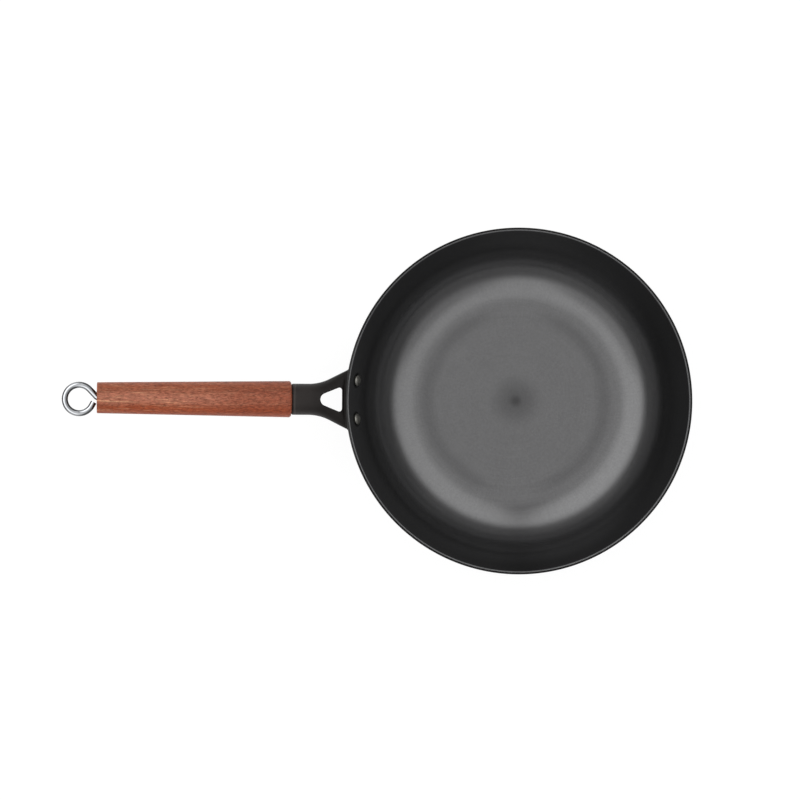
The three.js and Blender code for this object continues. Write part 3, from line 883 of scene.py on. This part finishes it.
def bracket_sheet():
    """The bracket: dressed edge at the plate, fork with its window, socket and mouth."""
    columns = range(len(section_places))
    outer_feet = [fork_foot(c, 0.0) for c in columns]
    inner_feet = [fork_foot(c, BRACKET_SHEET) for c in columns]

    def foot(column, depth):
        lean = inner_feet[column] - outer_feet[column]
        return outer_feet[column] + lean * depth / BRACKET_SHEET

    loops = []
    for t in steps_between(0, math.pi / 2, 8):
        run = SEAM_RUN * (1 - math.cos(t))
        sink = SEAM_DROP * (1 - math.sin(t))
        loops.append(bracket_loop(lambda c, depth: foot(c, depth) + run, sink, BRACKET_SHEET))
    for share in steps_between(0, 1, 40)[1:]:
        loops.append(bracket_loop(
            lambda c, depth: (foot(c, depth) + SEAM_RUN) * (1 - share) + flare_start * share,
            0.0,
            BRACKET_SHEET,
        ))
    for along in steps_between(flare_start, BRACKET_LENGTH - LIP_ROUND, 12)[1:]:
        loops.append(bracket_loop(lambda c, depth: along, 0.0, BRACKET_SHEET))
    for t in steps_between(0, math.pi / 2, 6)[1:]:
        along = BRACKET_LENGTH - LIP_ROUND * (1 - math.sin(t))
        sink = LIP_ROUND * (1 - math.cos(t))
        loops.append(bracket_loop(lambda c, depth: along, sink, BRACKET_SHEET))
    made = build("bracket_sheet", *skin(loops, capped=True), handle_frame)
    cut(made, [window_cutter()])
    round_window(made)
    smooth(made)
    finish_piece(made, "pan", [paint_material], ["handle_bracket"])


bracket_sheet()


# Weld inside the fork


def weld_bead():
    """A rippled bead along the fork's foot, on its hollow side, short of the sheet's edges."""
    margin = 4
    least_radius = 0.01
    sunk = BEAD_RADIUS / 3
    depth = BRACKET_SHEET + sunk
    columns = range(margin, len(section_places) - margin)
    path = [bracket_point(c, fork_foot(c, depth) + sunk, depth) for c in columns]

    def radius_at(i, _):
        share = i / (len(path) - 1)
        taper = min(1, share / BEAD_TAPER, (1 - share) / BEAD_TAPER)
        ripple = 1 + BEAD_RIPPLE * math.sin(2 * math.pi * BEAD_RIPPLES * share)
        return max(BEAD_RADIUS * math.sqrt(taper) * ripple, least_radius)

    made = build("weld_bead", *skin(tube(path, radius_at, 14), capped=True), handle_frame)
    finish_piece(made, "pan", [paint_material])


weld_bead()


# Nut plate and tie nut


def nut_plate():
    """A disc with chamfered edges, as wide as the handle's tenon."""
    chamfer = NUT_PLATE_CHAMFER
    far = nut_plate_end + NUT_PLATE_SHEET
    profile = [
        (bore_radius, nut_plate_end + chamfer),
        (bore_radius + chamfer, nut_plate_end),
        (tenon_radius - chamfer, nut_plate_end),
        (tenon_radius, nut_plate_end + chamfer),
        (tenon_radius, far - chamfer),
        (tenon_radius - chamfer, far),
        (bore_radius + chamfer, far),
        (bore_radius, far - chamfer),
    ]
    made = build("nut_plate_disc", *skin(turned(profile, 96), ring=True), along_handle, crease=30)
    finish_piece(made, "pan", [zinc_material], ["nut_plate"])


def tie_nut():
    """Hexagon nut: the corners of both faces are turned off by a cone."""
    segments = 96
    cone_slope = math.tan(math.radians(30))
    sector = math.pi / 3
    face_radius = NUT_WIDTH / 2 * NUT_FACE_SHARE
    far = nut_end + NUT_HEIGHT
    angles = [2 * math.pi * i / segments for i in range(segments)]

    def at(angle, radius, distance):
        return Vector((radius * math.cos(angle), radius * math.sin(angle), distance))

    def circle(radius, distance):
        return [at(a, radius, distance) for a in angles]

    def hexagon(face, direction):
        """The nut's outline, set back from a face by the cone."""
        loop = []
        for a in angles:
            radius = NUT_WIDTH / 2 / math.cos(a % sector - sector / 2)
            loop.append(at(a, radius, face + direction * (radius - face_radius) * cone_slope))
        return loop

    loops = [
        circle(bore_radius, nut_end + NUT_CHAMFER),
        circle(bore_radius + NUT_CHAMFER, nut_end),
        circle(face_radius, nut_end),
        hexagon(nut_end, 1),
        hexagon(far, -1),
        circle(face_radius, far),
        circle(bore_radius + NUT_CHAMFER, far),
        circle(bore_radius, far - NUT_CHAMFER),
    ]
    made = build("nut_hexagon", *skin(loops, ring=True), along_handle, crease=20)
    finish_piece(made, "pan", [zinc_material], ["tie_nut"])


nut_plate()
tie_nut()


# Wooden handle


def wooden_handle():
    """Turned handle: tenon, rounded shoulder, straight taper, rounded tail and a bore for the bolt."""
    shoulder_middle = (HANDLE_FRONT / 2 - SHOULDER_ROUND, handle_start + SHOULDER_ROUND)
    tail_middle = (HANDLE_BACK / 2 - TAIL_ROUND, handle_end - TAIL_ROUND)
    shoulder = arc(*shoulder_middle, SHOULDER_ROUND, -math.pi / 2, 0, 10)
    tail = arc(*tail_middle, TAIL_ROUND, 0, math.pi / 2, 8)
    profile = [
        (bore_radius, tenon_end),
        (tenon_radius - TENON_CHAMFER, tenon_end),
        (tenon_radius, tenon_end + TENON_CHAMFER),
        (tenon_radius, handle_start),
        *shoulder,
        *line(shoulder[-1], tail[0], 40),
        *tail,
        (MOUTH_DIAMETER / 2, handle_end),
        (bore_radius, handle_end - MOUTH_DEPTH),
    ]
    made = build("turned_handle", *skin(turned(profile, 128), ring=True), along_handle)
    finish_piece(made, "handle", [wood_material], ["wooden_handle"])


wooden_handle()


# Eye bolt


def eye_path():
    """The wire's middle in the handle's frame: a straight rod, a bend in the handle's mouth, a
    straight strand, the eye and its straight end. Also the number of steps along the thread."""
    bend = Vector((BEND_DEPTH - handle_end, 0, 0))
    centre = Vector((-handle_end - EYE_REACH, -EYE_OFFSET, 0))
    to_bend = bend - centre
    eye_start = math.atan2(to_bend.y, to_bend.x) + math.acos(EYE_RADIUS / to_bend.length)
    circle = arc(centre.x, centre.y, EYE_RADIUS, eye_start, eye_start + EYE_SWEEP, 120)
    eye = [Vector((x, y, 0)) for x, y in circle]
    strand = (eye[0] - bend).normalized()
    bend_start = bend + Vector((BEND_LENGTH, 0, 0))
    bend_end = bend + strand * BEND_LENGTH
    curve = []
    for t in steps_between(0, 1, 10):
        curve.append(bend_start * (1 - t) ** 2 + bend * 2 * t * (1 - t) + bend_end * t ** 2)
    threaded = round(THREAD_LENGTH / THREAD_PITCH * THREAD_STEPS)
    start = Vector((-bolt_end, 0, 0))
    thread_end = start - Vector((THREAD_LENGTH, 0, 0))
    rod = [start.lerp(thread_end, s) for s in steps_between(0, 1, threaded)]
    rod += [thread_end.lerp(bend_start, s) for s in steps_between(0, 1, 12)[1:-1]]
    ahead = (eye[-1] - eye[-2]).normalized()
    tail = [eye[-1] + ahead * EYE_TAIL * s for s in steps_between(0, 1, 6)[1:]]
    return rod + curve + [bend_end.lerp(eye[0], 0.5)] + eye + tail, threaded


def eye_bolt():
    """The bent wire, with the thread's grooves at its start and a slightly rounded end."""
    path, threaded = eye_path()
    radius = BOLT_DIAMETER / 2
    run_out = 2 * THREAD_PITCH
    end_shares = (0.9, 0.8)

    def radius_at(i, angle):
        if i > threaded:
            return radius
        along = -bolt_end - path[i].x
        turn = (along / THREAD_PITCH - angle / (2 * math.pi)) % 1
        depth = THREAD_DEPTH * abs(2 * turn - 1) * min(1, (THREAD_LENGTH - along) / run_out)
        return min(radius - depth, radius - BOLT_CHAMFER + along)

    loops = tube(path, radius_at, 40)
    size = len(loops[0])
    first = sum(loops[0], Vector()) / size
    last = sum(loops[-1], Vector()) / size
    ahead = (path[-1] - path[-2]).normalized()
    rounding = []
    for share in end_shares:
        tip = last + ahead * BOLT_CHAMFER * (1 - share)
        rounding.append([tip + (point - last) * share for point in loops[-1]])
    loops = [[first] * size, *loops, *rounding, [tip] * size]
    made = build("eye_wire", *skin(loops), handle_frame, crease=35)
    finish_piece(made, "eye", [plating_material], ["eye_bolt"])


eye_bolt()


# Studio: white floor, light tent and camera


TENT_RADIUS = 8.0  # metres
FLOOR_REACH = 9.0  # metres, past the foot of the tent
FLOOR_GAP = 0.1  # under the pan


def floor():
    """A white floor. Camera, glossy and transmitted rays see it nearly white, faintly shadowed."""
    reach = FLOOR_REACH
    mesh = bpy.data.meshes.new("floor")
    corners = [(-reach, -reach, 0), (reach, -reach, 0), (reach, reach, 0), (-reach, reach, 0)]
    mesh.from_pydata(corners, [], [(0, 1, 2, 3)])
    made = bpy.data.objects.new("floor", mesh)
    made.location.z = -FLOOR_GAP * MM
    bpy.context.scene.collection.objects.link(made)

    shader = Shader("white_floor")
    rays = shader.node("LightPath").outputs
    seen = shader.math("MAXIMUM", rays["Is Camera Ray"], rays["Is Glossy Ray"])
    seen = shader.math("MAXIMUM", seen, rays["Is Transmission Ray"])
    plain = shader.node("BsdfDiffuse", {"Color": (0.85, 0.85, 0.85, 1)}).outputs[0]
    shaded = shader.node("BsdfDiffuse", {"Color": (0.14, 0.14, 0.14, 1)}).outputs[0]
    white = shader.node("Emission", {"Strength": 0.91}).outputs[0]
    backed = shader.node("AddShader", {0: shaded, 1: white}).outputs[0]
    shader.show(shader.node("MixShader", {0: seen, 1: plain, 2: backed}).outputs[0])
    mesh.materials.append(shader.material)


def light_tent():
    """A large dome that lights the object: bright overhead, dark towards the ground, with a dim gap
    in its panels at either side of the front and a dim seam at the back."""
    dome = arc(0, 0, TENT_RADIUS / MM, math.pi / 2, 0, 48)
    made = build("light_tent", *skin(turned(dome, 96)))
    made.visible_camera = False
    made.visible_shadow = False

    shader = Shader("tent_light")
    heading = shader.node("VectorMath", {0: shader.place}, operation="NORMALIZE").outputs[0]
    beside = shader.math("ABSOLUTE", shader.axis(heading, "X"))
    to_back = shader.axis(heading, "Y")
    to_front = shader.product(to_back, -1.0)
    pole = Vector((-0.040, 0.035, 1.0)).normalized()
    polar = shader.math("ARCCOSINE", shader.measure("DOT_PRODUCT", heading, pole))
    overhead = shader.between(polar, math.radians(14), math.radians(29), 0.935, 1.47)

    low_panel = shader.measure("DOT_PRODUCT", heading, (0.45, -0.90, 0.0))
    ground_level = shader.between(low_panel, -0.1, 0.9, 0.19, 0.27)
    ground_level = shader.product(ground_level, shader.between(beside, 0.62, 0.92, 1.0, 0.66))
    ground = shader.between(polar, math.radians(51), math.radians(66), 1.0, ground_level)
    side = shader.more(shader.measure("DOT_PRODUCT", heading, (-0.15, 0.15, 0.0)))

    gap_depth = 0.42
    diagonal = shader.between(shader.product(beside, to_front), 0.08, 0.24)
    gap_height = shader.hump(polar, math.radians(49), math.radians(15))
    gaps = shader.product(diagonal, gap_height, gap_depth)

    seam_place = 0.0145
    seam_reach = 0.25
    seam_power = 3.2
    off_seam = shader.math("SUBTRACT", shader.axis(heading, "X"), seam_place)
    from_seam = shader.product(shader.math("ABSOLUTE", off_seam), 1 / seam_reach)
    nearness = shader.math("MAXIMUM", shader.less(from_seam), 0.0)
    seam_start = shader.between(to_back, 0.18, 0.42, 0.0, 0.92)
    seam_end = shader.between(to_back, 0.50, 0.85, 1.0, 0.45)
    seam = shader.product(shader.math("POWER", nearness, seam_power), seam_start, seam_end)

    level = shader.product(overhead, ground, side, shader.less(gaps), shader.less(seam))
    glow = shader.node("Emission", {"Strength": level})
    shader.show(glow.outputs[0])
    made.data.materials.append(shader.material)


def white_world():
    """A white background."""
    world = bpy.data.worlds.new("white")
    world.use_nodes = True
    world.node_tree.nodes["Background"].inputs["Color"].default_value = (1, 1, 1, 1)
    bpy.context.scene.world = world


def camera():
    """Straight above, turned a little, with the photograph's framing."""
    distance = 2100.0  # above the rim
    frame_width = 645.45  # at the rim
    sensor_width = 36.0
    roll = math.radians(0.45)
    beside = Vector((-96.0, 0.05))  # of the pan's middle
    data = bpy.data.cameras.new("camera")
    data.sensor_width = sensor_width
    data.lens = sensor_width * distance / frame_width
    data.clip_end = 50.0
    made = bpy.data.objects.new("camera", data)
    made.location = Vector((beside.x, beside.y, PAN_HEIGHT + distance)) * MM
    made.rotation_euler.z = roll
    bpy.context.scene.collection.objects.link(made)
    bpy.context.scene.camera = made


floor()
light_tent()
white_world()
camera()
bpy.context.scene.view_settings.view_transform = "Standard"
